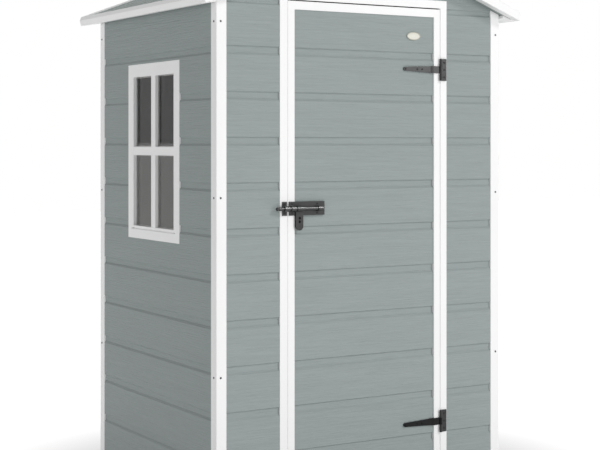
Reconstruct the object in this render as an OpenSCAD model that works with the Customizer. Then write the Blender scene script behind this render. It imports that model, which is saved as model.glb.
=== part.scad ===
// Small apex-roof plastic garden shed, in millimetres.
// The origin is on the ground under the middle of the floor: +X to the right as one faces
// the door, +Y to the back, +Z up. The door is in the front gable and swings outwards.

/* [Body] */
// Width over the corner posts
body_w = 1206; // [1000:1:1800]
// Depth over the corner posts
body_d = 994; // [800:1:1800]
// Height of the roof's underside at the outer face of the side walls
side_h = 1779; // [1450:1:2200]
// Height of the floor panel
floor_t = 44; // [20:1:60]
// Thickness of the twin-walled wall panels
wall_t = 18; // [17:1:30]
// Side of a square corner post
post_w = 40; // [34:1:60]
// How far the wall panels lie behind the faces of the posts and trims
panel_inset = 1.5; // [0.5:0.5:12]

/* [Doorway and door] */
// Width of the door leaf
door_w = 647; // [540:1:760]
// Running gap all round the door leaf
door_gap = 6; // [5:0.5:8]
// Width of the door jambs
jamb_w = 27; // [24:0.5:40]
// Height of the head trim over the doorway
head_h = 28; // [20:1:40]
// How far the top of the doorway is above side_h
head_rise = 10; // [0:1:20]
// Width of the door's white stiles
stile_w = 25.5; // [20:0.5:40]
// Height of the door's white rails
rail_h = 28.5; // [20:0.5:40]
// How far the door's boards lie behind its border
door_inset = 4; // [2:0.5:6]

/* [Window] */
// Width of the window frame
window_w = 440; // [300:1:560]
// Height of the window frame
window_h = 650; // [450:1:800]
// Distance from side_h down to the top of the window frame
window_drop = 193; // [120:1:260]
// Distance of the window's middle behind the middle of the side wall
window_shift = 7; // [-60:1:60]
// Width of the frame's border
window_border = 47; // [30:1:60]
// How far the frame stands in front of the wall boards
window_proud = 0.5; // [0.5:0.5:12]
// How far the pane lies behind the front of the frame
pane_depth = 13; // [4:1:14]
// Thickness of the pane
pane_t = 3; // [2:0.5:5]

/* [Roof] */
// Slope of the roof in degrees
roof_pitch = 20.8; // [16:0.1:30]
// Overhang of the eaves beyond the corner posts
side_overhang = 64; // [40:1:100]
// Overhang of the front and back verges beyond the corner posts
verge_overhang = 46; // [30:1:80]
// How far the roof panels reach beyond the corner posts, as far as the barge boards
verge_lap = 15; // [5:1:25]
// Height of the roof panels, measured plumb
roof_t = 26; // [20:1:32]
// Height of the barge boards, measured plumb
barge_h = 36; // [34:1:60]
// Width of the eave trims
eave_trim_w = 20; // [12:1:30]
// Gap between the corner posts and the soffit lip of the eave trims
eave_gap = 8; // [5:1:19]
// Thickness of that lip, which lies against the roof's underside
eave_lip_t = 12; // [4:1:14]
// Height of the broad lower face of the eave trims
eave_face_h = 22; // [15:1:28]
// How far that face leans out towards its top
eave_flare = 5; // [0:1:14]
// Height of a whole eave trim
eave_trim_h = 37; // [35:1:50]
// How far the eave trim leans in above its broad face
eave_lean = 6; // [0:1:10]
// Half width of the ridge cap
cap_w = 70; // [50:1:100]
// Thickness of the ridge cap
cap_t = 8; // [4:1:10]

/* [Hinges] */
// Distance of the upper hinge's centre below the top of the door leaf
hinge_drop = 221; // [150:1:300]
// Distance of the lower hinge's centre above the bottom of the door leaf
hinge_rise = 217; // [150:1:300]
// Radius of the hinge knuckles
knuckle_r = 5; // [4:0.5:7]
// Radius of the hinge pins
pin_r = 3; // [2:0.5:3.5]
// Gap between the knuckles and the trims behind them
pin_stand_off = 0.5; // [0.5:0.5:2]
// Clearance of a pin in its knuckle, or of a rod in its guide
pin_clearance = 0.3; // [0.2:0.05:0.5]
// Thickness of the steel plates
plate_t = 4; // [2:0.5:5]
// Height of the plate on the jamb
hinge_plate_h = 81; // [60:1:100]
// Width of the plate on the jamb
hinge_plate_w = 20; // [16:1:22]
// Gap between the knuckles and the plate on the jamb
hinge_plate_gap = 1.5; // [1:0.5:3]
// Height of the strap at the knuckle
strap_root_h = 25.5; // [22:0.5:34]
// Height of the strap at its round tip
strap_tip_h = 14; // [10:0.5:20]
// Distance from the hinge pin to the tip of the strap
strap_reach = 163.5; // [120:0.5:220]
// Thickness of the strap over the door's boards
strap_t = 5; // [4.5:0.5:7]

/* [Bolt] */
// Height of the bolt rod's centre above the ground
bolt_z = 1065; // [700:1:1250]
// Height of the base plate and of the keeper's plate
bolt_plate_h = 48; // [40:1:60]
// Thickness of the base plate in front of the stile
bolt_plate_t = 3.5; // [2:0.5:4]
// Margin of the base plate from the door's latch edge
bolt_plate_edge = 2.5; // [0.5:0.5:6]
// Radius of the rod
rod_r = 6.5; // [4:0.1:7]
// Clearance between the tongue's collar and the base plate
collar_clearance = 1.5; // [1:0.25:4]
// How far the rod's tip reaches past the keeper when it is shot
rod_shot = 32.5; // [15:0.5:40]
// How far the drawn rod's tip stops short of the keeper
rod_draw = 2; // [1:0.5:10]
// How far the rod reaches past the guide at its other end
rod_tail = 2; // [0.5:0.5:10]
// Wall of the guides and of the tongue's collar around the rod
guide_wall = 2.7; // [2:0.1:4]
// Length of the guides along the rod
guide_l = 19; // [15:1:24]
// Clearance between the tongue and the near guide when the rod is shot
guide_play = 5; // [1:0.5:8]
// Clearance between the tongue and the far guide when the rod is drawn
far_play = 1.5; // [1:0.5:8]
// Margin of the base plate past the guide at its far end
plate_margin = 15; // [8:1:20]
// Width of the tongue that hangs from the rod
tongue_w = 30; // [26:1:36]
// Length of the tongue below the rod's centre
tongue_l = 76; // [60:1:90]
// Thickness of the tongue
tongue_t = 3; // [2:0.5:5]
// Margin of the tongue past the base plate's tab behind it
tab_inset = 3; // [1:0.5:5]
// Radius of the two padlock holes in the tongue
padlock_r = 4.5; // [3:0.5:5]
// Distance of the upper padlock hole below the rod's centre
padlock_drop = 33.5; // [28:0.5:40]
// Distance between the two padlock holes
padlock_pitch = 12; // [11:1:18]
// Clearance of the rod in the keeper
keeper_clearance = 1; // [0.5:0.1:2]
// Margin of the jamb past the keeper's plate
keeper_margin = 8; // [4:0.5:10]

/* [Badge] */
// Width of the oval badge
badge_w = 60; // [40:1:90]
// Height of the oval badge
badge_h = 30; // [20:1:40]
// Thickness of the badge
badge_t = 3; // [1:0.5:4]
// Distance of the badge's centre below the top of the door leaf
badge_drop = 101; // [60:1:160]
// Distance of the badge's centre from the door's hinged edge
badge_side = 115; // [80:1:200]

/* [Hidden] */

LEFT = -1;
RIGHT = 1;
FRONT = -1;
BACK = 1;

half_w = body_w / 2;
half_d = body_d / 2;
front_y = -half_d;                                // face of the posts, jambs and stiles
board_y = front_y + panel_inset;                  // face of the front wall boards
inner_y = board_y + wall_t;                       // room side of the front wall
side_x = half_w - panel_inset;                    // face of the side wall boards
side_inner_x = side_x - wall_t;                   // room side of the side walls
eave_x = half_w + side_overhang;                  // lower outer edge of the eave trims
ridge_z = side_h + half_w * tan(roof_pitch);      // underside of the roof at the ridge
eave_wide_x = eave_x + eave_flare;                // widest edge of the eave trims
eave_top_x = eave_wide_x - eave_lean;             // upper edge of the eave trims
eave_low_z = underside(eave_x);                   // lower edge of the eave trims
eave_lip_x = half_w + eave_gap;                   // inner edge of their soffit lip
roof_y = half_d + verge_lap;                      // ends of the roof panels

opening_w = door_w + 2 * door_gap;
opening_top = side_h + head_rise;
head_top = opening_top + head_h;
door_out_x = opening_w / 2 + jamb_w;              // outer edge of the jambs
door_bottom = floor_t + door_gap;
door_top = opening_top - door_gap;
door_board_y = front_y + door_inset;
panel_half_w = door_w / 2 - stile_w;

window_top = side_h - window_drop;
window_bottom = window_top - window_h;
window_from = window_shift - window_w / 2;
window_to = window_shift + window_w / 2;
pane_from = window_from + window_border;
pane_to = window_to - window_border;
window_face_x = -side_x - window_proud;

pin_x = door_w / 2 + door_gap / 2;
pin_y = front_y - knuckle_r - pin_stand_off;
knuckle_gap = 0.5;                                // play between knuckles along the pin
plate_edge_x = pin_x + knuckle_r + hinge_plate_gap;

plate_face_y = front_y - bolt_plate_t;
guide_r = rod_r + pin_clearance + guide_wall;
rod_y = plate_face_y - guide_r - collar_clearance;
bolt_plate_x = -door_w / 2 + bolt_plate_edge;     // latch-side end of the base plate
keeper_w = jamb_w - keeper_margin;
keeper_x = -opening_w / 2 - keeper_w;
bolt_travel = rod_shot + keeper_w + rod_draw;
tongue_x = bolt_plate_x + guide_l + guide_play;   // latch-side edge of the tongue
tongue_mid_x = tongue_x + tongue_w / 2;
tongue_round_z = bolt_z - tongue_l + tongue_w / 2; // centre of the tongue's round end
tongue_back_y = rod_y + guide_r;                  // the tongue is rolled round the rod
far_guide_x = tongue_x + tongue_w + bolt_travel + far_play;
bolt_plate_end_x = far_guide_x + guide_l + plate_margin;
rod_tip_x = keeper_x - rod_shot;
rod_end_x = far_guide_x + guide_l + rod_tail;

eps = 1;                                          // overshoot of a cut

white = [0.93, 0.93, 0.92];
grey_green = [0.55, 0.60, 0.58];
dark_steel = [0.2, 0.2, 0.21];

// Height of the roof's underside at a distance x from the ridge line
function underside(x) = side_h + (half_w - abs(x)) * tan(roof_pitch);

// A box between two opposite corners
module block(from, to) {
    translate(from) cube(to - from);
}

// An outline drawn in X and Z, carried along Y from y_from to y_to
module profile_xz(points, y_from, y_to) {
    translate([0, y_to, 0])
    rotate([90, 0, 0])
    linear_extrude(height = y_to - y_from)
    polygon(points);
}

// Everything under the roof's underside, across the whole body
module under_roof() {
    profile_xz([
        [-half_w, 0], [half_w, 0], [half_w, side_h], [0, ridge_z], [-half_w, side_h],
    ], -half_d, half_d);
}

// A rod along X from x_from to x_to, round the bolt's axis
module bolt_bar(r, x_from, x_to) {
    translate([x_from, rod_y, bolt_z])
    rotate([0, 90, 0])
    cylinder(r = r, h = x_to - x_from, $fn = 48);
}

module floor_panel() {
    color([0.35, 0.37, 0.38])
    block([-half_w, -half_d, 0], [half_w, half_d, floor_t]);
}

module corner_post(side, end) {
    x_out = side * half_w;
    x_in = side * (half_w - post_w);
    y_low = end == FRONT ? -half_d : half_d - post_w;
    color(white)
    profile_xz([
        [x_in, floor_t], [x_out, floor_t], [x_out, side_h], [x_in, underside(x_in)],
    ], y_low, y_low + post_w);
}

module front_wall(side) {
    x_in = door_out_x;
    x_out = half_w - post_w;
    color(grey_green)
    mirror([side == LEFT ? 1 : 0, 0, 0])
    intersection() {
        block([x_in, board_y, floor_t], [x_out, inner_y, head_top]);
        under_roof();
    }
}

module front_gable() {
    x_out = half_w - post_w;
    color(grey_green)
    intersection() {
        block([-x_out, board_y, head_top], [x_out, inner_y, ridge_z + eps]);
        under_roof();
    }
}

module back_wall() {
    x_out = half_w - post_w;
    color(grey_green)
    intersection() {
        block([-x_out, -inner_y, floor_t], [x_out, -board_y, ridge_z + eps]);
        under_roof();
    }
}

// A length of side wall between y_from and y_to, from z_from up to z_to or the roof
module side_wall(side, y_from, y_to, z_from, z_to) {
    color(grey_green)
    mirror([side == LEFT ? 1 : 0, 0, 0])
    intersection() {
        block([side_inner_x, y_from, z_from], [side_x, y_to, z_to]);
        under_roof();
    }
}

module right_wall() {
    side_wall(RIGHT, -half_d + post_w, half_d - post_w, floor_t, ridge_z);
}

module left_wall_front() {
    side_wall(LEFT, -half_d + post_w, window_from, floor_t, ridge_z);
}

module left_wall_back() {
    side_wall(LEFT, window_to, half_d - post_w, floor_t, ridge_z);
}

module left_wall_below_window() {
    side_wall(LEFT, window_from, window_to, floor_t, window_bottom);
}

module left_wall_above_window() {
    side_wall(LEFT, window_from, window_to, window_top, ridge_z);
}

module door_jamb(side) {
    color(white)
    mirror([side == LEFT ? 1 : 0, 0, 0])
    block([opening_w / 2, front_y, floor_t], [door_out_x, inner_y, opening_top]);
}

module door_head() {
    color(white)
    block([-door_out_x, front_y, opening_top], [door_out_x, inner_y, head_top]);
}

module window_frame() {
    color(white)
    difference() {
        block([window_face_x, window_from, window_bottom],
              [-side_inner_x, window_to, window_top]);
        block([window_face_x - eps, pane_from, window_bottom + window_border],
              [-side_inner_x + eps, pane_to, window_top - window_border]);
    }
}

module window_glass() {
    pane_x = window_face_x + pane_depth;
    color([0.3, 0.3, 0.28])
    block([pane_x, pane_from, window_bottom + window_border],
          [pane_x + pane_t, pane_to, window_top - window_border]);
}

module roof_panel(side) {
    x_out = eave_x - eave_trim_w;
    color(grey_green)
    mirror([side == LEFT ? 1 : 0, 0, 0])
    profile_xz([
        [0, ridge_z], [x_out, underside(x_out)],
        [x_out, underside(x_out) + roof_t], [0, ridge_z + roof_t],
    ], -roof_y, roof_y);
}

// A verge board along the slope; its lower end is cut like the eave trim that it meets
module barge(side, end) {
    y_low = end == FRONT ? -half_d - verge_overhang : roof_y;
    color(white)
    mirror([side == LEFT ? 1 : 0, 0, 0])
    profile_xz([
        [0, ridge_z], [eave_x, eave_low_z], [eave_wide_x, eave_low_z + eave_face_h],
        [eave_top_x, underside(eave_top_x) + barge_h], [0, ridge_z + barge_h],
    ], y_low, y_low + verge_overhang - verge_lap);
}

// A trim that hooks over the end of a roof panel, with a soffit lip below the panel
module eave_trim(side) {
    x_in = eave_x - eave_trim_w;
    color(white)
    mirror([side == LEFT ? 1 : 0, 0, 0])
    profile_xz([
        [eave_lip_x, underside(eave_lip_x) - eave_lip_t], [eave_x, eave_low_z],
        [eave_wide_x, eave_low_z + eave_face_h], [eave_top_x, eave_low_z + eave_trim_h],
        [x_in, eave_low_z + eave_trim_h], [x_in, underside(x_in)],
        [eave_lip_x, underside(eave_lip_x)],
    ], -roof_y, roof_y);
}

module ridge_cap() {
    z_low = underside(cap_w) + roof_t;
    z_mid = ridge_z + roof_t;
    color(grey_green)
    profile_xz([
        [-cap_w, z_low], [0, z_mid], [cap_w, z_low],
        [cap_w, z_low + cap_t], [0, z_mid + cap_t], [-cap_w, z_low + cap_t],
    ], -roof_y, roof_y);
}

// One bar of the door leaf, from the face of its border to its room side
module leaf_bar(x_from, x_to, z_from, z_to) {
    color(white)
    block([x_from, front_y, z_from], [x_to, inner_y, z_to]);
}

module door_stile_hinge_side() {
    leaf_bar(panel_half_w, door_w / 2, door_bottom, door_top);
}

module door_stile_latch_side() {
    leaf_bar(-door_w / 2, -panel_half_w, door_bottom, door_top);
}

module door_top_rail() {
    leaf_bar(-panel_half_w, panel_half_w, door_top - rail_h, door_top);
}

module door_bottom_rail() {
    leaf_bar(-panel_half_w, panel_half_w, door_bottom, door_bottom + rail_h);
}

module door_panel() {
    color(grey_green)
    block([-panel_half_w, door_board_y, door_bottom + rail_h],
          [panel_half_w, inner_y, door_top - rail_h]);
}

// The jamb's half of a T-hinge: plate, end knuckles and the pin
module hinge_plate(z_mid) {
    end_h = (hinge_plate_h - strap_root_h) / 2 - knuckle_gap;
    color(dark_steel)
    translate([0, 0, z_mid])
    union() {
        block([plate_edge_x, front_y - plate_t, -hinge_plate_h / 2],
              [plate_edge_x + hinge_plate_w, front_y, hinge_plate_h / 2]);
        for (z = [-hinge_plate_h / 2, hinge_plate_h / 2 - end_h]) {
            translate([pin_x, pin_y, z]) cylinder(r = knuckle_r, h = end_h, $fn = 48);
            block([pin_x, front_y - plate_t, z], [plate_edge_x + eps, front_y, z + end_h]);
        }
        translate([pin_x, pin_y, -hinge_plate_h / 2])
        cylinder(r = pin_r, h = hinge_plate_h, $fn = 48);
    }
}

// The door's half of a T-hinge: a tapered strap, its neck over the stile and a knuckle
module hinge_strap(z_mid) {
    tip_r = strap_tip_h / 2;
    tip_x = pin_x - strap_reach + tip_r;
    root_r = strap_root_h / 2;
    strap_y = door_board_y - strap_t;
    color(dark_steel)
    translate([0, 0, z_mid])
    difference() {
        union() {
            profile_xz([
                [tip_x, -tip_r], [panel_half_w, -root_r], [panel_half_w, root_r], [tip_x, tip_r],
            ], strap_y, door_board_y);
            translate([tip_x, door_board_y, 0])
            rotate([90, 0, 0])
            cylinder(r = tip_r, h = strap_t, $fn = 48);
            block([panel_half_w - plate_t, front_y - plate_t, -root_r],
                  [pin_x, front_y, root_r]);
            translate([pin_x, pin_y, -root_r]) cylinder(r = knuckle_r, h = strap_root_h, $fn = 48);
        }
        translate([pin_x, pin_y, -root_r - eps])
        cylinder(r = pin_r + pin_clearance, h = strap_root_h + 2 * eps, $fn = 48);
    }
}

// The bolt's base plate: it lies on the stile and steps back onto the door's boards, and
// a round-ended tab hangs from it behind the tongue
module bolt_plate() {
    tab_r = tongue_w / 2 - tab_inset;
    color(dark_steel)
    union() {
        translate([0, 0, bolt_z - bolt_plate_h / 2])
        linear_extrude(height = bolt_plate_h)
        polygon([
            [bolt_plate_x, plate_face_y], [bolt_plate_end_x, plate_face_y],
            [bolt_plate_end_x, door_board_y],
            [-panel_half_w, door_board_y], [-panel_half_w, front_y], [bolt_plate_x, front_y],
        ]);
        block([tongue_mid_x - tab_r, plate_face_y, tongue_round_z],
              [tongue_mid_x + tab_r, door_board_y, bolt_z]);
        translate([tongue_mid_x, door_board_y, tongue_round_z])
        rotate([90, 0, 0])
        cylinder(r = tab_r, h = door_board_y - plate_face_y, $fn = 48);
    }
}

// An arch that holds the rod in front of a plate, bored bore_r
module rod_arch(x_from, length, bore_r) {
    difference() {
        union() {
            bolt_bar(bore_r + guide_wall, x_from, x_from + length);
            block([x_from, rod_y, bolt_z - bore_r - guide_wall],
                  [x_from + length, plate_face_y, bolt_z + bore_r + guide_wall]);
        }
        bolt_bar(bore_r, x_from - eps, x_from + length + eps);
    }
}

module bolt_guides() {
    color(dark_steel)
    for (x = [bolt_plate_x, far_guide_x])
        rod_arch(x, guide_l, rod_r + pin_clearance);
}

module bolt_keeper() {
    color(dark_steel)
    union() {
        block([keeper_x, plate_face_y, bolt_z - bolt_plate_h / 2],
              [keeper_x + keeper_w, front_y, bolt_z + bolt_plate_h / 2]);
        rod_arch(keeper_x, keeper_w, rod_r + keeper_clearance);
    }
}

module bolt_rod() {
    color([0.35, 0.35, 0.36])
    union() {
        bolt_bar(rod_r, rod_tip_x + rod_r, rod_end_x);
        translate([rod_tip_x + rod_r, rod_y, bolt_z]) sphere(r = rod_r, $fn = 48);
    }
}

// The tongue: steel strip rolled round the rod, with a round end and two padlock holes
module bolt_tongue() {
    color(dark_steel)
    difference() {
        union() {
            bolt_bar(guide_r, tongue_x, tongue_x + tongue_w);
            block([tongue_x, tongue_back_y - tongue_t, tongue_round_z],
                  [tongue_x + tongue_w, tongue_back_y, bolt_z]);
            translate([tongue_mid_x, tongue_back_y, tongue_round_z])
            rotate([90, 0, 0])
            cylinder(r = tongue_w / 2, h = tongue_t, $fn = 48);
        }
        bolt_bar(rod_r + pin_clearance, tongue_x - eps, tongue_x + tongue_w + eps);
        for (drop = [padlock_drop, padlock_drop + padlock_pitch])
            translate([tongue_mid_x, tongue_back_y + eps, bolt_z - drop])
            rotate([90, 0, 0])
            cylinder(r = padlock_r, h = tongue_t + 2 * eps, $fn = 48);
    }
}

module badge() {
    sides = 48;
    color([0.88, 0.88, 0.84])
    translate([door_w / 2 - badge_side, 0, door_top - badge_drop])
    profile_xz([
        for (i = [0 : sides - 1])
            [cos(i * 360 / sides) * badge_w / 2, sin(i * 360 / sides) * badge_h / 2],
    ], door_board_y - badge_t, door_board_y);
}

floor_panel();
corner_post(LEFT, FRONT);  // corner_post_front_left
corner_post(RIGHT, FRONT);  // corner_post_front_right
corner_post(LEFT, BACK);  // corner_post_back_left
corner_post(RIGHT, BACK);  // corner_post_back_right
front_wall(LEFT);  // front_wall_left
front_wall(RIGHT);  // front_wall_right
front_gable();
back_wall();
right_wall();
left_wall_front();
left_wall_back();
left_wall_below_window();
left_wall_above_window();
door_jamb(LEFT);  // door_jamb_left
door_jamb(RIGHT);  // door_jamb_right
door_head();
window_frame();
window_glass();
roof_panel(LEFT);  // roof_panel_left
roof_panel(RIGHT);  // roof_panel_right
ridge_cap();
barge(LEFT, FRONT);  // barge_front_left
barge(RIGHT, FRONT);  // barge_front_right
barge(LEFT, BACK);  // barge_back_left
barge(RIGHT, BACK);  // barge_back_right
eave_trim(LEFT);  // eave_trim_left
eave_trim(RIGHT);  // eave_trim_right
hinge_plate(door_top - hinge_drop);  // hinge_plate_upper
hinge_plate(door_bottom + hinge_rise);  // hinge_plate_lower
bolt_keeper();
door_panel();
door_stile_hinge_side();
door_stile_latch_side();
door_top_rail();
door_bottom_rail();
hinge_strap(door_top - hinge_drop);  // hinge_strap_upper
hinge_strap(door_bottom + hinge_rise);  // hinge_strap_lower
bolt_plate();
bolt_guides();
badge();
bolt_rod();
bolt_tongue();
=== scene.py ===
import math

import bmesh
import bpy
from mathutils import Matrix, Vector


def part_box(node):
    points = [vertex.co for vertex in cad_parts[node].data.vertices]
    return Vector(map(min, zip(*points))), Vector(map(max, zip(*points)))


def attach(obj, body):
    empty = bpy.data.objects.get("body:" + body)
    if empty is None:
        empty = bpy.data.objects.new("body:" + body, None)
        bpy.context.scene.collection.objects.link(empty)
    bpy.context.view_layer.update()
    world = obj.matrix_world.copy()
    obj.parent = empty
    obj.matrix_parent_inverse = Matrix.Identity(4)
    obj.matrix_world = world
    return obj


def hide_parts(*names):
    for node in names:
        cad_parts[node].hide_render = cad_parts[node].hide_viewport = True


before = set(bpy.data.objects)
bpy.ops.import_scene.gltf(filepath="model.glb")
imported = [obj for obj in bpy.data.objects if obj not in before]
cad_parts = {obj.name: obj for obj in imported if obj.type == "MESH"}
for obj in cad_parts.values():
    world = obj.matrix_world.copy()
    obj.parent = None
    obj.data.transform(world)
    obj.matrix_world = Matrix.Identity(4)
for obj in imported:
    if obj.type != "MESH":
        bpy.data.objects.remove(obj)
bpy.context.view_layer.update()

# Floor: one blow-moulded slab of dark grey resin that the posts and the walls stand in.
# Square treads with sloped sides are moulded on the part that is walked on.


def new_finish(name, colour, roughness):
    """Makes a plain finish of this colour and roughness."""
    finish = bpy.data.materials.new(name)
    finish.use_nodes = True
    shader = finish.node_tree.nodes["Principled BSDF"]
    shader.inputs["Base Color"].default_value = (*colour, 1)
    shader.inputs["Roughness"].default_value = roughness
    return finish


def map_range(finish, value, low, high, from_low=0.3, from_high=0.7):
    """Turns a value of the pattern into one between low and high."""
    node = finish.node_tree.nodes.new("ShaderNodeMapRange")
    node.inputs["From Min"].default_value = from_low
    node.inputs["From Max"].default_value = from_high
    node.inputs["To Min"].default_value = low
    node.inputs["To Max"].default_value = high
    finish.node_tree.links.new(value, node.inputs["Value"])
    return node.outputs["Result"]


def tint(finish, amount):
    """Multiplies the finish's colour by an amount that changes over the surface."""
    links = finish.node_tree.links
    base = finish.node_tree.nodes["Principled BSDF"].inputs["Base Color"]
    mix = finish.node_tree.nodes.new("ShaderNodeMix")
    mix.data_type = "RGBA"
    mix.blend_type = "MULTIPLY"
    mix.inputs["Factor"].default_value = 1
    mix.inputs["A"].default_value = base.default_value
    if base.links:
        links.new(base.links[0].from_socket, mix.inputs["A"])
    links.new(amount, mix.inputs["B"])
    links.new(mix.outputs["Result"], base)


def add_marks(finish, size, depth=0.0, shade=0.0, gloss=0.0, detail=3.0):
    """Adds moulded or worn marks, of this size in metres along X, Y and Z."""
    nodes = finish.node_tree.nodes
    links = finish.node_tree.links
    shader = nodes["Principled BSDF"]
    place = nodes.new("ShaderNodeTexCoord")
    stretch = nodes.new("ShaderNodeMapping")
    stretch.inputs["Scale"].default_value = [1 / s for s in size]
    marks = nodes.new("ShaderNodeTexNoise")
    marks.inputs["Scale"].default_value = 1
    marks.inputs["Detail"].default_value = detail
    links.new(place.outputs["Object"], stretch.inputs["Vector"])
    links.new(stretch.outputs["Vector"], marks.inputs["Vector"])
    if depth:
        bump = nodes.new("ShaderNodeBump")
        bump.inputs["Distance"].default_value = depth
        links.new(marks.outputs["Fac"], bump.inputs["Height"])
        if shader.inputs["Normal"].links:
            links.new(shader.inputs["Normal"].links[0].from_socket, bump.inputs["Normal"])
        links.new(bump.outputs["Normal"], shader.inputs["Normal"])
    if shade:
        tint(finish, map_range(finish, marks.outputs["Fac"], 1 - shade, 1 + shade))
    if gloss:
        middle = shader.inputs["Roughness"].default_value
        spread = map_range(finish, marks.outputs["Fac"], middle - gloss, middle + gloss)
        links.new(spread, shader.inputs["Roughness"])


sharp_angle = math.radians(32)


def add_piece(name, bm, finish, body, nodes=(), edge=0.0):
    """Makes the mesh a piece of the shed, with its edges rounded off."""
    bmesh.ops.recalc_face_normals(bm, faces=bm.faces)
    for face in bm.faces:
        face.smooth = True
    mesh = bpy.data.meshes.new(name)
    bm.to_mesh(mesh)
    bm.free()
    mesh.materials.append(finish)
    mesh.set_sharp_from_angle(angle=sharp_angle)
    piece = bpy.data.objects.new(name, mesh)
    bpy.context.collection.objects.link(piece)
    if edge:
        rounding = piece.modifiers.new("rounding", "BEVEL")
        rounding.width = edge
        rounding.segments = 2
        rounding.limit_method = "ANGLE"
        rounding.angle_limit = sharp_angle
        rounding.harden_normals = True
    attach(piece, body)
    if nodes:
        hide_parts(*nodes)
    return piece


def only_verts(geom):
    """Picks the vertices out of what a mesh operator gives back."""
    return [g for g in geom if isinstance(g, bmesh.types.BMVert)]


floor_plastic = new_finish("floor_plastic", (0.12, 0.13, 0.135), 0.6)
add_marks(floor_plastic, (0.002, 0.002, 0.002), depth=0.0004, shade=0.04, gloss=0.06)
add_marks(floor_plastic, (0.25, 0.25, 0.25), shade=0.08)

low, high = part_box("floor_panel")
walked_on = (1.10, 0.90)
treads_across = 11
treads_along = 9
tread_gap = 0.012
tread_rise = 0.003
bm = bmesh.new()
bmesh.ops.create_grid(bm, x_segments=treads_across, y_segments=treads_along, size=0.5)
bmesh.ops.scale(bm, verts=bm.verts, vec=(*walked_on, 1))
treads = bm.faces[:]
bmesh.ops.inset_individual(bm, faces=treads, thickness=tread_gap / 2)
bmesh.ops.inset_individual(bm, faces=treads, thickness=tread_rise, depth=tread_rise)
rim = [e for e in bm.edges if e.is_boundary]
for drop in (0, low[2] - high[2]):
    outer = only_verts(bmesh.ops.extrude_edge_only(bm, edges=rim)["geom"])
    across, along = (max(v.co[i] for v in outer) for i in (0, 1))
    bmesh.ops.scale(bm, verts=outer, vec=(high[0] / across, high[1] / along, 1))
    bmesh.ops.translate(bm, verts=outer, vec=(0, 0, drop))
    rim = [e for e in bm.edges if e.is_boundary]
bmesh.ops.edgeloop_fill(bm, edges=rim)
bmesh.ops.translate(bm, verts=bm.verts, vec=(0, 0, high[2]))
add_piece("floor_slab", bm, floor_plastic, "shed", ["floor_panel"])

# Walls: twin-walled resin panels moulded as wide boards with a wood grain. Under each
# board runs a sunk channel. Posts and trims close the ends.
board_pitch = 0.155
lowest_joint = 0.050 - board_pitch
sunk = 0.0055
channel_h = 0.0200
board_foot = 0.0235
board_round = 0.0080
board_outline = (
    (sunk, 0), (sunk, channel_h), (0, board_foot), (0, board_pitch - board_round),
    (sunk, board_pitch),
)
last_joint = 1.600
above_walls = 2.100
tall_board = (
    (sunk, last_joint), (sunk, last_joint + channel_h), (0, last_joint + board_foot),
    (0, above_walls),
)
gable_joint = 1.771
gable_round = 0.0060
gable_channel_h = 0.0140
gable_foot = 0.0176
gable_board = tall_board[:3] + (
    (0, gable_joint - gable_round), (sunk, gable_joint), (sunk, gable_joint + gable_channel_h),
    (0, gable_joint + gable_foot), (0, above_walls),
)
roof_slope = math.radians(20.8)
eaves_x = 0.603
eaves_z = 1.779


def all_of(bm):
    """Lists every vertex, edge and face of a mesh."""
    return bm.verts[:] + bm.edges[:] + bm.faces[:]


def cut_off(bm, point, outward, close=True):
    """Cuts away all that lies outward of a plane and closes the cut."""
    cut = bmesh.ops.bisect_plane(bm, geom=all_of(bm), plane_co=point, plane_no=outward,
                                 clear_outer=True)
    edges = [g for g in cut["geom_cut"] if isinstance(g, bmesh.types.BMEdge)]
    if close and edges:
        bmesh.ops.edgeloop_fill(bm, edges=edges)


def moulded_sheet(outline, first, pitch, low, high, thickness, hole=None, top=()):
    """Makes a closed sheet that faces -Y at Y 0, with an outline that repeats up Z."""
    sheet = bmesh.new()
    points = [sheet.verts.new((low[0], y, first + z)) for y, z in outline]
    for ends in zip(points, points[1:]):
        sheet.edges.new(ends)
    unit = sheet.verts[:] + sheet.edges[:]
    repeat_to = top[0][1] if top else high[1]
    repeats = math.ceil((repeat_to - first) / pitch - 0.01)
    for count in range(1, repeats):
        copied = bmesh.ops.duplicate(sheet, geom=unit)["geom"]
        bmesh.ops.translate(sheet, verts=only_verts(copied), vec=(0, 0, count * pitch))
    points = [sheet.verts.new((low[0], y, z)) for y, z in top]
    for ends in zip(points, points[1:]):
        sheet.edges.new(ends)
    bmesh.ops.remove_doubles(sheet, verts=sheet.verts, dist=1e-5)
    pushed = bmesh.ops.extrude_edge_only(sheet, edges=sheet.edges)["geom"]
    bmesh.ops.translate(sheet, verts=only_verts(pushed), vec=(high[0] - low[0], 0, 0))
    cut_off(sheet, (0, 0, low[1]), (0, 0, -1), close=False)
    cut_off(sheet, (0, 0, high[1]), (0, 0, 1), close=False)
    if hole:
        for axis, direction in ((0, Vector((1, 0, 0))), (1, Vector((0, 0, 1)))):
            for corner in hole:
                bmesh.ops.bisect_plane(sheet, geom=all_of(sheet), plane_no=direction,
                                       plane_co=direction * corner[axis])
        inside = [f for f in sheet.faces if all(
            hole[0][i] < f.calc_center_median()[2 * i] < hole[1][i] for i in (0, 1))]
        bmesh.ops.delete(sheet, geom=inside, context="FACES")
    rim = [e for e in sheet.edges if e.is_boundary]
    pushed = bmesh.ops.extrude_edge_only(sheet, edges=rim)["geom"]
    for point in only_verts(pushed):
        point.co.y = thickness
    rim = [e for e in sheet.edges if e.is_boundary]
    bmesh.ops.triangle_fill(sheet, edges=rim, use_beauty=True, normal=(0, 1, 0))
    bmesh.ops.recalc_face_normals(sheet, faces=sheet.faces)
    return sheet


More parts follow.
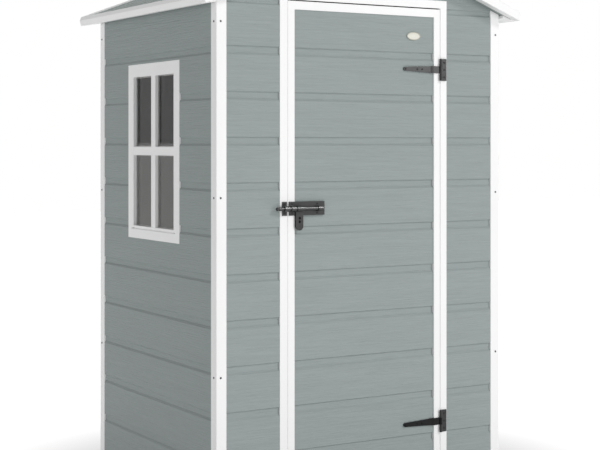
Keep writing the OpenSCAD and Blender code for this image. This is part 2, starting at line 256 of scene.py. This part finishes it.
def set_gloss(finish, level):
    """Sets how strongly the finish reflects, where 0.5 is usual."""
    shader = finish.node_tree.nodes["Principled BSDF"]
    shader.inputs["Specular IOR Level"].default_value = level


def board_wall(name, turn, nodes, top, rise=0.02, hole=None):
    """Puts one grooved panel in place of wall nodes that face -Y turned by this angle."""
    turned = Matrix.Rotation(math.radians(turn), 4, "Z")
    corners = [turned.inverted() @ Vector(c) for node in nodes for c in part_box(node)]
    low = [min(c) for c in zip(*corners)]
    high = [max(c) for c in zip(*corners)]
    sheet = moulded_sheet(board_outline, lowest_joint, board_pitch, (low[0], low[2]),
                          (high[0], high[2] + rise), high[1] - low[1], hole, top)
    bmesh.ops.transform(sheet, verts=sheet.verts,
                        matrix=turned @ Matrix.Translation((0, low[1], 0)))
    for side in (-1, 1):
        cut_off(sheet, (side * eaves_x, 0, eaves_z),
                (side * math.sin(roof_slope), 0, math.cos(roof_slope)))
    add_piece(name, sheet, wall_plastic, "shed", nodes)


wall_plastic = new_finish("wall_plastic", (0.308, 0.351, 0.346), 0.62)
set_gloss(wall_plastic, 0.2)
add_marks(wall_plastic, (0.11, 0.11, 0.0035), depth=0.0016, shade=0.045, gloss=0.05, detail=2)
add_marks(wall_plastic, (0.035, 0.035, 0.0018), depth=0.0006, shade=0.02, detail=1)
add_marks(wall_plastic, (0.5, 0.5, 0.03), shade=0.02)

board_wall("front_boards_left", 0, ["front_wall_left"], gable_board, rise=0)
board_wall("front_boards_right", 0, ["front_wall_right"], gable_board, rise=0)
board_wall("gable_boards", 0, ["front_gable"], gable_board)
board_wall("back_boards", 180, ["back_wall"], gable_board)
board_wall("right_boards", 90, ["right_wall"], tall_board)
low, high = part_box("window_frame")
board_wall("left_boards", -90, ["left_wall_front", "left_wall_back", "left_wall_below_window",
                                "left_wall_above_window"], tall_board,
           hole=((-high[1], low[2]), (-low[1], high[2])))

# Screws: dark self-tapping screws with domed heads, which fix the trims to the panels.
# Each post has three on both of its outer faces.


def turn_round(bm, place, axis, outline, steps=32):
    """Adds a turned shape: an outline of radius and height, spun round an axis."""
    axis = Vector(axis)
    side = axis.orthogonal().normalized()
    old = set(bm.verts)
    points = [bm.verts.new(Vector(place) + side * r + axis * h) for r, h in outline]
    edges = [bm.edges.new(ends) for ends in zip(points, points[1:])]
    bmesh.ops.spin(bm, geom=points + edges, cent=place, axis=axis, angle=2 * math.pi,
                   steps=steps, use_merge=True)
    made = [v for v in bm.verts if v not in old]
    bmesh.ops.remove_doubles(bm, verts=made, dist=1e-6)


def add_screw(bm, place, axis, radius):
    """Adds a domed screw head with a sunk drive, seated in the face at place."""
    turn_round(bm, place, axis, [
        (0, -0.001), (radius, -0.001), (radius, radius * 0.2), (radius * 0.72, radius * 0.48),
        (radius * 0.38, radius * 0.55), (radius * 0.34, radius * 0.15), (0, radius * 0.1),
    ], 12)


dark_steel = new_finish("dark_steel", (0.026, 0.026, 0.027), 0.33)
set_gloss(dark_steel, 0.38)
add_marks(dark_steel, (0.0012, 0.0012, 0.0012), depth=0.00008, gloss=0.06)
add_marks(dark_steel, (0.03, 0.03, 0.03), shade=0.15, gloss=0.04)

screw_r = 0.0035
screw_heights = (0.503, 1.107, 1.701)
inset = 0.017
body_x = 0.603
body_y = 0.497
bm = bmesh.new()
for x in (-1, 1):
    for y in (-1, 1):
        for z in screw_heights:
            add_screw(bm, (x * (body_x - inset), y * body_y, z), (0, y, 0), screw_r)
            add_screw(bm, (x * body_x, y * (body_y - inset), z), (x, 0, 0), screw_r)
add_piece("post_screws", bm, dark_steel, "shed")

# Corner posts and barge boards: hollow extrusions of white resin with softly rounded
# edges. The posts lap over the ends of the wall panels, the barges close the verges.


def softened(node):
    """Copies a part of the frame, with its triangles merged into whole faces."""
    bm = bmesh.new()
    bm.from_mesh(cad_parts[node].data)
    bmesh.ops.remove_doubles(bm, verts=bm.verts, dist=1e-5)
    bmesh.ops.dissolve_limit(bm, angle_limit=math.radians(1), verts=bm.verts, edges=bm.edges)
    return bm


white_trim = new_finish("white_trim", (0.90, 0.90, 0.90), 0.42)
add_marks(white_trim, (0.002, 0.002, 0.002), depth=0.0001, gloss=0.05)
add_marks(white_trim, (0.12, 0.12, 0.3), shade=0.012, detail=2)

for kind, edge in (("corner_post", 0.0025), ("barge", 0.002)):
    for corner in ("front_left", "front_right", "back_left", "back_right"):
        node = f"{kind}_{corner}"
        add_piece(f"{node}_cover", softened(node), white_trim, "shed", [node],
                  edge=edge)

# Eave trims: white resin extrusions that flare out as a shallow gutter face along both
# eaves, hooked over the ends of the roof panels.
for node in ("eave_trim_left", "eave_trim_right"):
    add_piece(f"{node}_cover", softened(node), white_trim, "shed", [node],
              edge=0.0015)

# Doorway: two jambs and a head of white resin. A thin lip along each one covers most of
# the gap round the door, and a stop behind the lip closes it.


def add_bar(bm, outline, low, high, place):
    """Adds a bar: place gives the corner for each outline point at its low or high end."""
    face = bm.faces.new([bm.verts.new(place(*point, low)) for point in outline])
    pushed = bmesh.ops.extrude_face_region(bm, geom=[face])["geom"]
    shift = Vector(place(0, 0, high)) - Vector(place(0, 0, low))
    bmesh.ops.translate(bm, verts=only_verts(pushed), vec=shift)


def add_block(bm, low, high):
    """Adds a block between two corners."""
    made = bmesh.ops.create_cube(bm, size=1)["verts"]
    bmesh.ops.scale(bm, verts=made, vec=[h - l for l, h in zip(low, high)])
    bmesh.ops.translate(bm, verts=made, vec=[(h + l) / 2 for l, h in zip(low, high)])
    return made


opening_x = 0.3295
lip_t = 0.003
front_y = -0.497
stop_x = 0.3249
stop_y = -0.4932
stop_t = 0.004
stop_root = 0.001
head_lip = 0.0007
for side, node, lip_x in ((-1, "door_jamb_left", 0.3256), (1, "door_jamb_right", 0.3276)):
    low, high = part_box(node)
    outer = max(abs(low[0]), abs(high[0]))
    bm = bmesh.new()
    add_bar(bm, [
        (lip_x, front_y), (outer, front_y), (outer, high[1]), (opening_x, high[1]),
        (opening_x, front_y + lip_t), (lip_x, front_y + lip_t),
    ], low[2], high[2], lambda x, y, z: (x * side, y, z))
    near, far = sorted((stop_x * side, (opening_x + stop_root) * side))
    add_block(bm, (near, stop_y, low[2]), (far, stop_y + stop_t, high[2]))
    add_piece(f"{node}_trim", bm, white_trim, "shed", [node], edge=0.001)

low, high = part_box("door_head")
bm = bmesh.new()
add_bar(bm, [
    (front_y, low[2] - head_lip), (front_y, high[2]), (high[1], high[2]), (high[1], low[2]),
    (front_y + lip_t, low[2]), (front_y + lip_t, low[2] - head_lip),
], low[0], high[0], lambda y, z, x: (x, y, z))
add_piece("door_head_trim", bm, white_trim, "shed", ["door_head"], edge=0.001)

# Door leaf: a grooved resin panel like the walls, in a border of white resin whose front
# lip laps over the gap all round.


def add_ring(bm, low, high, border, rail, facing):
    """Adds a flat ring between two corners, with stiles and rails, open along X or Y."""
    across = {"X": 1, "Y": 0}[facing]
    through = 1 - across
    size = [h - l for l, h in zip(low, high)]
    old = set(bm.verts)
    grid = bmesh.ops.create_grid(bm, x_segments=1, y_segments=1, size=0.5)["verts"]
    bmesh.ops.scale(bm, verts=grid, vec=(size[across], size[2], 1))
    middle = grid[0].link_faces[0]
    sides = bmesh.ops.inset_region(bm, faces=[middle], thickness=border,
                                   use_boundary=True, use_even_offset=True)["faces"]
    squeeze = (size[2] / 2 - rail) / (size[2] / 2 - border)
    bmesh.ops.scale(bm, verts=middle.verts, vec=(1, squeeze, 1))
    bmesh.ops.delete(bm, geom=[middle], context="FACES")
    pushed = bmesh.ops.extrude_face_region(bm, geom=sides)["geom"]
    bmesh.ops.translate(bm, verts=only_verts(pushed), vec=(0, 0, size[through]))
    for vert in [v for v in bm.verts if v not in old]:
        placed = Vector((0, 0, (low[2] + high[2]) / 2 + vert.co.y))
        placed[across] = (low[across] + high[across]) / 2 + vert.co.x
        placed[through] = low[through] + vert.co.z
        vert.co = placed


stile_low, stile_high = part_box("door_stile_hinge_side")
leaf_x = stile_high[0]
leaf_low = stile_low[2]
leaf_top = stile_high[2]
leaf_back = stile_high[1]
stile = leaf_x - stile_low[0]
rail = leaf_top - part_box("door_top_rail")[0][2]
leaf_lip = 0.00215
leaf_shift = 0.00065
rail_lip = 0.0013
overlap = 0.0002
bm = bmesh.new()
add_ring(bm, (-leaf_x, front_y + lip_t - overlap, leaf_low), (leaf_x, leaf_back, leaf_top),
         stile, rail, "Y")
add_ring(bm, (leaf_shift - leaf_x - leaf_lip, front_y, leaf_low - rail_lip),
         (leaf_shift + leaf_x + leaf_lip, front_y + lip_t, leaf_top + rail_lip),
         stile + leaf_lip, rail + rail_lip, "Y")
add_piece("door_border", bm, white_trim, "door", [
    "door_stile_hinge_side", "door_stile_latch_side", "door_top_rail", "door_bottom_rail",
], edge=0.001)

low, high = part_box("door_panel")
bm = moulded_sheet(board_outline, lowest_joint, board_pitch, (low[0], low[2]),
                   (high[0], high[2]), high[1] - low[1], top=tall_board)
bmesh.ops.translate(bm, verts=bm.verts, vec=(0, low[1], 0))
add_piece("door_boards", bm, wall_plastic, "door", ["door_panel"])

# Window: a fixed white resin frame let into the left wall, with a cross of glazing bars
# and a drip groove over its foot. Beads on the room side hold four acrylic panes, which
# turn lighter and less clear below a line at 1.29 m: a painted reflection.


def vary_with_height(finish, socket, low, high, from_z, to_z):
    """Makes a value of the finish change from low to high between two heights."""
    nodes = finish.node_tree.nodes
    links = finish.node_tree.links
    place = nodes.new("ShaderNodeTexCoord")
    split = nodes.new("ShaderNodeSeparateXYZ")
    links.new(place.outputs["Object"], split.inputs["Vector"])
    value = map_range(finish, split.outputs["Z"], low, high, from_z, to_z)
    links.new(value, nodes["Principled BSDF"].inputs[socket])


low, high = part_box("window_frame")
pane_low, pane_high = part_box("window_glass")
window_border = pane_low[1] - low[1]
bar_face_x = low[0] + 0.001
transom = (1.247, 1.279)
middle = (low[1] + high[1]) / 2
half_bar = 0.018
mullion = (middle - half_bar, middle + half_bar)
bar_root = 0.002
bar_lap = 0.001
groove_top = pane_low[2] - 0.0055
groove_foot = groove_top - 0.007
groove_end = 0.033
groove_depth = 0.006
bm = bmesh.new()
add_ring(bm, low, high, window_border, window_border, "X")
for direction, place in (
        (Vector((0, 1, 0)), low[1] + groove_end), (Vector((0, 1, 0)), high[1] - groove_end),
        (Vector((0, 0, 1)), groove_top), (Vector((0, 0, 1)), groove_foot)):
    bmesh.ops.bisect_plane(bm, geom=all_of(bm), plane_co=direction * place, plane_no=direction)
groove_middle = Vector((low[0], middle, (groove_top + groove_foot) / 2))
groove = min(bm.faces, key=lambda f: (f.calc_center_median() - groove_middle).length)
pushed = bmesh.ops.extrude_face_region(bm, geom=[groove])["geom"]
bmesh.ops.delete(bm, geom=[groove], context="FACES")
bmesh.ops.translate(bm, verts=only_verts(pushed), vec=(groove_depth, 0, 0))
add_block(bm, (bar_face_x, pane_low[1] - bar_root, transom[0]),
          (high[0], pane_high[1] + bar_root, transom[1]))
for foot, top in ((pane_low[2] - bar_root, transom[0] + bar_lap),
                  (transom[1] - bar_lap, pane_high[2] + bar_root)):
    add_block(bm, (bar_face_x, mullion[0], foot), (high[0], mullion[1], top))
add_piece("window_frame_and_bars", bm, white_trim, "shed", ["window_frame"],
          edge=0.0012)

window_pane = new_finish("window_pane", (0.45, 0.45, 0.44), 0.08)
window_pane.node_tree.nodes["Principled BSDF"].inputs["IOR"].default_value = 1.2
add_marks(window_pane, (0.05, 0.05, 0.05), gloss=0.03)
# Painted reflection: below this height the panes let less light through and look lighter.
pane_reflection_line = 1.29
pane_reflection_edge = 0.004
vary_with_height(window_pane, "Transmission Weight", 0.72, 1.0,
                 from_z=pane_reflection_line - pane_reflection_edge, to_z=pane_reflection_line + pane_reflection_edge)

pane_play = 0.0005
bead = 0.004
panes = bmesh.new()
beads = bmesh.new()
for ys in ((pane_low[1], mullion[0]), (mullion[1], pane_high[1])):
    for zs in ((pane_low[2], transom[0]), (transom[1], pane_high[2])):
        add_block(panes, (pane_low[0], ys[0] + pane_play, zs[0] + pane_play),
                  (pane_high[0], ys[1] - pane_play, zs[1] - pane_play))
        add_ring(beads, (pane_high[0], ys[0], zs[0]), (pane_high[0] + bead, ys[1], zs[1]),
                 bead, bead, "X")
add_piece("window_panes", panes, window_pane, "shed", ["window_glass"])
add_piece("window_beads", beads, white_trim, "shed", edge=0.0008)

# Roof: two twin-walled resin panels with ribs down the slope, which meet under a ridge
# cap of the same resin. The cap has a bead along both of its edges.
roof_plastic = new_finish("roof_plastic", (0.27, 0.315, 0.305), 0.6)
add_marks(roof_plastic, (0.0025, 0.0025, 0.0025), depth=0.0003, shade=0.03, gloss=0.06)
add_marks(roof_plastic, (0.3, 0.3, 0.3), shade=0.05)

rib_pitch = 0.1104
rib_h = 0.0045
rib_side = 0.0050
flat_w = 0.0330
rib_outline = (
    (0, 0), (0, flat_w), (-rib_h, flat_w + rib_side), (-rib_h, rib_pitch - rib_side),
    (0, rib_pitch),
)
spare = 0.1
roof_t = 0.026
ridge_z = 2.0081
for side, name in ((-1, "left"), (1, "right")):
    node = f"roof_panel_{name}"
    low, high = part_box(node)
    length = high[0] - low[0]
    bm = moulded_sheet(rib_outline, low[1] - rib_pitch / 2, rib_pitch, (-spare, low[1]),
                       (length / math.cos(roof_slope) + spare, high[1]),
                       roof_t * math.cos(roof_slope))
    bmesh.ops.rotate(bm, verts=bm.verts, matrix=Matrix.Rotation(math.radians(-90), 3, "X"))
    bmesh.ops.rotate(bm, verts=bm.verts, matrix=Matrix.Rotation(roof_slope, 3, "Y"))
    bmesh.ops.translate(bm, verts=bm.verts, vec=(0, 0, ridge_z + roof_t))
    cut_off(bm, (0, 0, 0), (-1, 0, 0))
    cut_off(bm, (length, 0, 0), (1, 0, 0))
    bmesh.ops.scale(bm, verts=bm.verts, vec=(side, 1, 1))
    add_piece(f"{node}_ribbed", bm, roof_plastic, "shed", [node], edge=0.001)
add_piece("ridge_cap_cover", softened("ridge_cap"), roof_plastic, "shed",
          ["ridge_cap"], edge=0.0015)

# T-hinges: pressed steel with a dark powder coat. The straps' gloss is turned down towards
# the ground, a painted reflection. A plate with two rolled knuckles is screwed to the jamb,
# and a long tapered strap to the door.


def add_hull(bm, *shapes):
    """Wraps the corners of these shapes in one closed solid with flat sides."""
    corners = [bm.verts.new(v.co) for shape in shapes for v in shape]
    bmesh.ops.delete(bm, geom=[v for shape in shapes for v in shape], context="VERTS")
    bmesh.ops.convex_hull(bm, input=corners)
    unused = [v for v in corners if not v.link_faces]
    bmesh.ops.delete(bm, geom=unused, context="VERTS")
    kept = [v for v in corners if v.is_valid]
    bmesh.ops.dissolve_limit(bm, angle_limit=math.radians(1), verts=kept,
                             edges=list({e for v in kept for e in v.link_edges}))


def add_disc(bm, place, radius, thickness):
    """Adds a round of sheet that faces -Y, from place towards -Y."""
    made = bmesh.ops.create_cone(bm, cap_ends=True, segments=32, radius1=radius,
                                 radius2=radius, depth=thickness)["verts"]
    bmesh.ops.rotate(bm, verts=made, matrix=Matrix.Rotation(math.radians(90), 3, "X"))
    bmesh.ops.translate(bm, verts=made, vec=(place[0], place[1] - thickness / 2, place[2]))
    return made


strap_steel = new_finish("strap_steel", (0.02, 0.02, 0.021), 0.33)
add_marks(strap_steel, (0.0012, 0.0012, 0.0012), depth=0.00008, gloss=0.06)
add_marks(strap_steel, (0.03, 0.03, 0.03), shade=0.15, gloss=0.04)
# Painted reflection: less gloss lower down makes the lower strap look darker than the upper
# one.
vary_with_height(strap_steel, "Specular IOR Level", 0.05, 0.5, from_z=0.3, to_z=1.5)

pin_x = 0.3265
pin_y = -0.5025
knuckle_r = 0.005
knuckle_play = 0.0005
knuckle_root = 0.003
plate_gap = 0.0015
pressed_y = -0.501
plate_screw_x = 0.3435
plate_screw_r = 0.004
plate_screw_pitch = 0.027
board_y = -0.493
strap_t = 0.005
strap_screws = (0.1705, 0.2233, 0.2445)
strap_screw_r = 0.0038
tip_r = 0.007
taper_end = (0.297, 0.298)
neck_x = 0.294
ramp_w = 0.014
ramp_lap = 0.001
buried = 0.0005
hair = 0.0001
for name in ("upper", "lower"):
    low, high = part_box(f"hinge_plate_{name}")
    strap_low, strap_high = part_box(f"hinge_strap_{name}")
    middle = (low[2] + high[2]) / 2
    half_h = (high[2] - low[2]) / 2
    root = (strap_high[2] - strap_low[2]) / 2
    bm = bmesh.new()
    add_block(bm, (pin_x + knuckle_r + plate_gap, pressed_y, low[2]),
              (high[0], front_y, high[2]))
    for sign in (-1, 1):
        ends = sorted((sign * (root + knuckle_play), sign * half_h))
        turn_round(bm, (pin_x, pin_y, middle), (0, 0, 1), [
            (0, ends[0]), (knuckle_r, ends[0]), (knuckle_r, ends[1]), (0, ends[1]),
        ])
        add_block(bm, (pin_x, pressed_y, middle + ends[0]),
                  (pin_x + knuckle_r + knuckle_root, front_y, middle + ends[1]))
    for z in (-plate_screw_pitch, 0, plate_screw_pitch):
        add_screw(bm, (plate_screw_x, pressed_y, middle + z), (0, -1, 0), plate_screw_r)
    add_piece(f"hinge_plate_{name}_pressed", bm, dark_steel, "shed",
              [f"hinge_plate_{name}"], edge=0.0006)

    bm = bmesh.new()
    tip = add_disc(bm, (strap_low[0] + tip_r, board_y, middle), tip_r, strap_t)
    end = add_block(bm, (taper_end[0], board_y - strap_t, middle - root),
                    (taper_end[1], board_y, middle + root))
    add_hull(bm, tip, end)
    add_block(bm, (neck_x, pressed_y, middle - root), (pin_x, front_y, middle + root))
    foot_x = neck_x - ramp_w
    foot = add_block(bm, (foot_x, board_y - strap_t + buried, middle - root),
                     (foot_x + buried, board_y, middle + root))
    top_x = neck_x + ramp_lap
    top = add_block(bm, (top_x, pressed_y + hair, middle - root + hair),
                    (top_x + buried, front_y - buried, middle + root - hair))
    add_hull(bm, foot, top)
    turn_round(bm, (pin_x, pin_y, middle), (0, 0, 1), [
        (0, -root), (knuckle_r, -root), (knuckle_r, root), (0, root),
    ])
    for x in strap_screws:
        add_screw(bm, (x, board_y - strap_t, middle), (0, -1, 0), strap_screw_r)
    add_piece(f"hinge_strap_{name}_pressed", bm, strap_steel, "door",
              [f"hinge_strap_{name}"], edge=0.0006)

# Pad bolt: a pressed base plate and two rod guides on the door, and a keeper on the
# jamb, all of steel with a dark powder coat and screwed on. Two blind holes in the plate's
# tab lie behind the tongue's holes for a padlock.


def face_at(bm, point):
    """Finds the face turned to -Y that holds a point of its plane."""
    for face in bm.faces:
        if face.normal.y < -0.9 and abs(face.verts[0].co.y - point.y) < 0.0001:
            if bmesh.geometry.intersect_face_point(face, point):
                return face
    return None


barrel_steel = new_finish("barrel_steel", (0.03, 0.03, 0.031), 0.13)
set_gloss(barrel_steel, 0.6)
add_marks(barrel_steel, (0.02, 0.0012, 0.0012), depth=0.00003, shade=0.1, gloss=0.04)
padlock_x = -0.282
padlock_r = 0.0045
pocket_depth = 0.0025
padlock_holes = [Vector((padlock_x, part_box("bolt_plate")[0][1], z)) for z in (1.0195, 1.0315)]
pocket_sides = 20
bm = softened("bolt_plate")
for middle in padlock_holes:
    for step in range(pocket_sides):
        outward = Matrix.Rotation(math.tau * step / pocket_sides, 3, "Y") @ Vector((1, 0, 0))
        spot = face_at(bm, middle)
        bmesh.ops.bisect_plane(bm, geom=[spot, *spot.edges, *spot.verts],
                               plane_co=middle + outward * padlock_r, plane_no=outward)
    spot = face_at(bm, middle)
    pushed = only_verts(bmesh.ops.extrude_face_region(bm, geom=[spot])["geom"])
    bmesh.ops.delete(bm, geom=[spot], context="FACES_ONLY")
    bmesh.ops.translate(bm, verts=pushed, vec=(0, pocket_depth, 0))
    for face in {face for vert in pushed for face in vert.link_faces}:
        face.material_index = 1
bmesh.ops.dissolve_limit(bm, angle_limit=math.radians(1), verts=bm.verts, edges=bm.edges,
                         delimit={"MATERIAL"})
bolt_front_y = -0.5005
bolt_screws_x = (-0.309, -0.208)
bolt_screws_z = (1.049, 1.081)
for x in bolt_screws_x:
    for z in bolt_screws_z:
        add_screw(bm, (x, bolt_front_y, z), (0, -1, 0), screw_r)
plate = add_piece("bolt_plate_pressed", bm, dark_steel, "door", ["bolt_plate"],
                  edge=0.0006)
plate.data.materials.append(barrel_steel)
add_piece("bolt_guides_rolled", softened("bolt_guides"), barrel_steel, "door",
          ["bolt_guides"], edge=0.0006)

keeper_screw_x = -0.339
barrel_front_y = -0.5035
bm = softened("bolt_keeper")
for z in bolt_screws_z:
    add_screw(bm, (keeper_screw_x, bolt_front_y, z), (0, -1, 0), screw_r)
for face in bm.faces:
    face.material_index = int(face.calc_center_median().y < barrel_front_y)
keeper = add_piece("bolt_keeper_rolled", bm, dark_steel, "shed", ["bolt_keeper"],
                   edge=0.0006)
keeper.data.materials.append(barrel_steel)

# Bolt: a round steel rod with a turned ball end, which slides in the guides. A tongue of
# steel strip is rolled round it, with two holes for a padlock.
rod_steel = new_finish("rod_steel", (0.03, 0.03, 0.031), 0.2)
add_marks(rod_steel, (0.03, 0.0012, 0.0012), depth=0.00004, shade=0.1, gloss=0.06)
add_marks(rod_steel, (0.02, 0.02, 0.02), shade=0.12)

low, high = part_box("bolt_rod")
rod_r = (high[2] - low[2]) / 2
bm = bmesh.new()
turn_round(bm, (0, (low[1] + high[1]) / 2, (low[2] + high[2]) / 2), (1, 0, 0), [
    (0, low[0]), (rod_r * 0.38, low[0] + 0.0005), (rod_r * 0.71, low[0] + 0.0019),
    (rod_r * 0.92, low[0] + 0.004), (rod_r, low[0] + rod_r), (rod_r * 0.92, low[0] + 0.009),
    (rod_r * 0.78, low[0] + 0.0108), (rod_r * 0.78, low[0] + 0.0125), (rod_r, low[0] + 0.014),
    (rod_r, high[0] - 0.001), (rod_r - 0.001, high[0]), (0, high[0]),
])
add_piece("bolt_rod_turned", bm, rod_steel, "bolt", ["bolt_rod"])

collar_foot = low[2] - 0.0025
bm = softened("bolt_tongue")
for face in bm.faces:
    centre = face.calc_center_median()
    off_axis = min(math.hypot(centre.x - hole.x, centre.z - hole.z) for hole in padlock_holes)
    drilled = off_axis < padlock_r and abs(face.normal.y) < 0.5
    face.material_index = int(centre.z > collar_foot or drilled)
tongue = add_piece("bolt_tongue_rolled", bm, dark_steel, "tongue", ["bolt_tongue"],
                   edge=0.0006)
tongue.data.materials.append(rod_steel)

# Badge: a bare oval plate of glossy cream plastic in a raised rim, glued to the door's
# boards near their top.
badge_plate = new_finish("badge_plate", (0.66, 0.65, 0.57), 0.25)
add_marks(badge_plate, (0.004, 0.004, 0.004), depth=0.00004, shade=0.02, gloss=0.05)

badge_rim = new_finish("badge_rim", (0.40, 0.40, 0.33), 0.3)
add_marks(badge_rim, (0.002, 0.002, 0.002), depth=0.00004, gloss=0.05)

rim_w = 0.0026
rim_slope = 0.0004
rim_h = 0.0008
bm = softened("badge")
face = max(bm.faces, key=lambda f: -f.normal.y * f.calc_area())
bmesh.ops.inset_individual(bm, faces=[face], thickness=rim_w)
bmesh.ops.inset_individual(bm, faces=[face], thickness=rim_slope, depth=-rim_h)
for other in bm.faces:
    other.material_index = int(other != face)
oval = add_piece("badge_oval", bm, badge_plate, "door", ["badge"], edge=0.0004)
oval.data.materials.append(badge_rim)

# Studio: a pale floor that turns white away from the shed, and a white surround that
# gives even light. A soft sun shines from the front right, and a large lamp further off
# puts glints on the steel and the trims.


def seen_directly(nodes, links):
    """Gives 1 for what the camera sees, also in gloss and through glass, and else 0."""
    path = nodes.new("ShaderNodeLightPath")
    either = nodes.new("ShaderNodeMath")
    either.operation = "MAXIMUM"
    links.new(path.outputs["Is Camera Ray"], either.inputs[0])
    links.new(path.outputs["Is Glossy Ray"], either.inputs[1])
    seen = nodes.new("ShaderNodeMath")
    seen.operation = "MAXIMUM"
    links.new(either.outputs["Value"], seen.inputs[0])
    links.new(path.outputs["Is Transmission Ray"], seen.inputs[1])
    return seen.outputs["Value"]


floor_reach = 20
bm = bmesh.new()
bmesh.ops.create_grid(bm, x_segments=1, y_segments=1, size=floor_reach)
floor_mesh = bpy.data.meshes.new("studio_floor")
bm.to_mesh(floor_mesh)
bm.free()
studio_floor = bpy.data.objects.new("studio_floor", floor_mesh)
bpy.context.collection.objects.link(studio_floor)
floor_white = new_finish("floor_white", (0.88, 0.88, 0.88), 0.8)
floor_mesh.materials.append(floor_white)
nodes = floor_white.node_tree.nodes
links = floor_white.node_tree.links
place = nodes.new("ShaderNodeTexCoord")
distance = nodes.new("ShaderNodeVectorMath")
distance.operation = "LENGTH"
links.new(place.outputs["Object"], distance.inputs[0])
away = map_range(floor_white, distance.outputs["Value"], 0, 1, from_low=0.80, from_high=0.96)
both = nodes.new("ShaderNodeMath")
both.operation = "MULTIPLY"
links.new(away, both.inputs[0])
links.new(seen_directly(nodes, links), both.inputs[1])
glow = nodes.new("ShaderNodeEmission")
near_foot = map_range(floor_white, distance.outputs["Value"], 0.5, 1.12,
                      from_low=0.6, from_high=1.4)
links.new(near_foot, glow.inputs["Strength"])
path = nodes.new("ShaderNodeLightPath")
lit = nodes.new("ShaderNodeMath")
lit.operation = "MAXIMUM"
links.new(both.outputs["Value"], lit.inputs[0])
links.new(path.outputs["Is Diffuse Ray"], lit.inputs[1])
mix = nodes.new("ShaderNodeMixShader")
links.new(lit.outputs["Value"], mix.inputs["Fac"])
links.new(nodes["Principled BSDF"].outputs["BSDF"], mix.inputs[1])
links.new(glow.outputs["Emission"], mix.inputs[2])
links.new(mix.outputs["Shader"], nodes["Material Output"].inputs["Surface"])

world = bpy.data.worlds.new("studio")
bpy.context.scene.world = world
world.use_nodes = True
nodes = world.node_tree.nodes
links = world.node_tree.links
even_light = nodes["Background"]
place = nodes.new("ShaderNodeTexCoord")
split = nodes.new("ShaderNodeSeparateXYZ")
links.new(place.outputs["Generated"], split.inputs["Vector"])
overhead = map_range(world, split.outputs["Z"], 0.60, 0.32, from_low=0, from_high=1)
links.new(overhead, even_light.inputs["Color"])
white = nodes.new("ShaderNodeBackground")
white.inputs["Color"].default_value = (1, 1, 1, 1)
mix = nodes.new("ShaderNodeMixShader")
links.new(seen_directly(nodes, links), mix.inputs["Fac"])
links.new(even_light.outputs["Background"], mix.inputs[1])
links.new(white.outputs["Background"], mix.inputs[2])
links.new(mix.outputs["Shader"], nodes["World Output"].inputs["Surface"])

lamp = bpy.data.lights.new("soft_lamp", "SUN")
lamp.angle = math.radians(11)
lamp.energy = 0.89
lamp_stand = bpy.data.objects.new("soft_lamp", lamp)
bpy.context.collection.objects.link(lamp_stand)
lamp_stand.location = (3.6, -5.1, 5.2)
aim = Vector((0, -0.5, 1.0)) - lamp_stand.location
lamp_stand.rotation_euler = aim.to_track_quat("-Z", "Y").to_euler()

glint = bpy.data.lights.new("glint_lamp", "AREA")
glint.size = 3.6
glint.energy = 188
glint_stand = bpy.data.objects.new("glint_lamp", glint)
bpy.context.collection.objects.link(glint_stand)
glint_stand.location = (6.4, -10.0, 3.1)
aim = Vector((0, -0.5, 1.3)) - glint_stand.location
glint_stand.rotation_euler = aim.to_track_quat("-Z", "Y").to_euler()

camera_data = bpy.data.cameras.new("camera")
camera_data.lens = 83.57
camera_data.shift_y = -0.1357
camera = bpy.data.objects.new("camera", camera_data)
bpy.context.collection.objects.link(camera)
camera.location = (-2.7568, -4.6437, 1.290)
camera.rotation_euler = (math.radians(90), 0, math.radians(-30.89))
bpy.context.scene.camera = camera
bpy.context.scene.view_settings.view_transform = "Standard"
